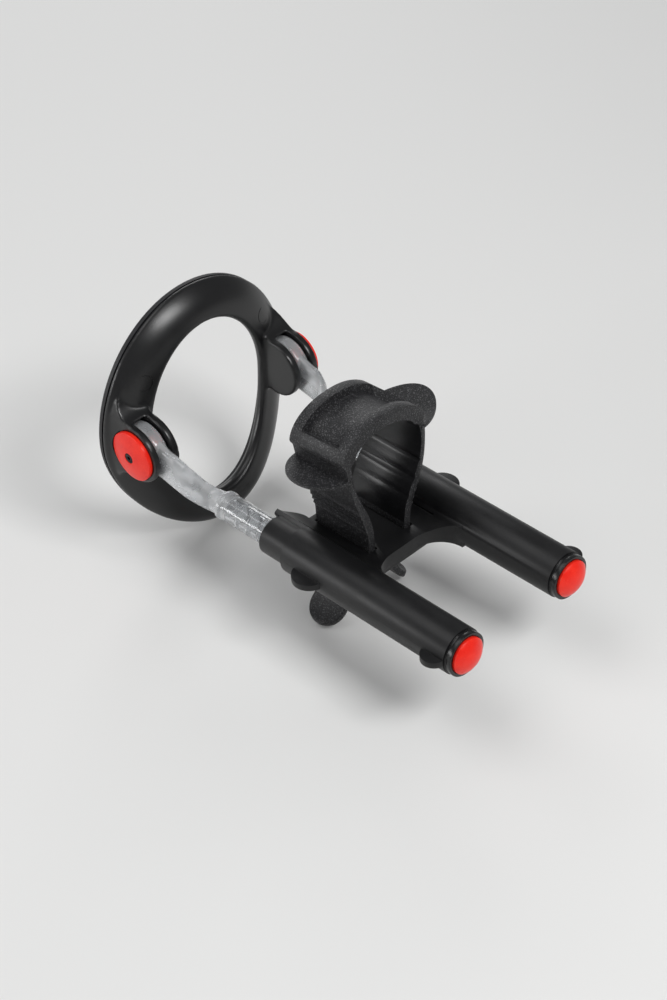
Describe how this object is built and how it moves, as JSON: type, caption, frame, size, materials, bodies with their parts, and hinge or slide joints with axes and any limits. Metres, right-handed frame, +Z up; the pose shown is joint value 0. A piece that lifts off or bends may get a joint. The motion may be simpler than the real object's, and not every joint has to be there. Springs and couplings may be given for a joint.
{
  "type": "wearable traction device",
  "caption": "Wearable traction device: a swivelling oval base ring on two clear sliding arms, bridged spring barrels with push buttons, and a rubber strap loop.",
  "frame": {"origin": "on the table at the centre of the footprint", "axes": "+Z up, -Y towards the push buttons, +Y towards the base ring, +X to the right seen from behind the buttons"},
  "size_m": [0.0818, 0.158, 0.0931],
  "materials": {
    "black_plastic": "satin, fine moulded texture",
    "ring_plastic": "soft satin",
    "pad_rubber": "soft matte",
    "strap_rubber": "matte, pebbled",
    "red_plastic": "satin gloss, fine grain",
    "clear_plastic": "clear, polished",
    "white_plastic": "moulded acetal",
    "grey_plastic": "moulded nylon",
    "steel": "bright wire and pins",
    "black_steel": "black oxide",
    "brass": "turned"
  },
  "bodies": {
    "frame": {"barrel_frame": "black_plastic", "strap_clamp": "black_plastic", "rubber_strap": "strap_rubber", "collar_left": "black_plastic", "collar_right": "black_plastic", "button_spring_left": "steel", "button_spring_right": "steel", "spring_seat_left": "grey_plastic", "spring_seat_right": "grey_plastic", "lock_rod_left": "white_plastic", "lock_rod_right": "white_plastic", "tension_spring_left": "steel", "tension_spring_right": "steel", "guide_bush_left": "grey_plastic", "guide_bush_right": "grey_plastic"},
    "arm_left": {"arm_left": "clear_plastic", "stop_ring_left": "steel"},
    "arm_right": {"arm_right": "clear_plastic", "stop_ring_right": "steel"},
    "ring": {"base_ring": "ring_plastic", "ring_pad": "pad_rubber", "pivot_cap_left": "red_plastic", "pivot_cap_right": "red_plastic", "pivot_screw_left": "black_steel", "pivot_screw_right": "black_steel", "pivot_insert_left": "brass", "pivot_insert_right": "brass"},
    "button_left": {"button_left": "red_plastic", "button_clip_left": "steel", "release_pin_left": "steel"},
    "button_right": {"button_right": "red_plastic", "button_clip_right": "steel", "release_pin_right": "steel"}
  },
  "joints": [
    {"name": "arm_left_slide", "type": "slide", "parent": "frame", "child": "arm_left", "axis": [0, 1, 0], "range_m": [-0.0165, 0.0215]},
    {"name": "arm_right_slide", "type": "slide", "parent": "frame", "child": "arm_right", "axis": [0, 1, 0], "range_m": [-0.0165, 0.0215]},
    {"name": "ring_swivel", "type": "hinge", "parent": "arm_left", "child": "ring", "pos_m": [-0.033, 0.06398, 0.0489], "axis": [1, 0, 0], "range_deg": [-24, 45]},
    {"name": "button_left_push", "type": "slide", "parent": "frame", "child": "button_left", "axis": [0, 1, 0], "range_m": [0, 0.002], "stiffness_N_per_m": 400, "springref_m": -0.004, "deforming": ["button_spring_left"]},
    {"name": "button_right_push", "type": "slide", "parent": "frame", "child": "button_right", "axis": [0, 1, 0], "range_m": [0, 0.002], "stiffness_N_per_m": 400, "springref_m": -0.004, "deforming": ["button_spring_right"]}
  ],
  "couplings": [
    {"joint": "arm_right_slide", "follows": "arm_left_slide", "ratio": 1}
  ]
}
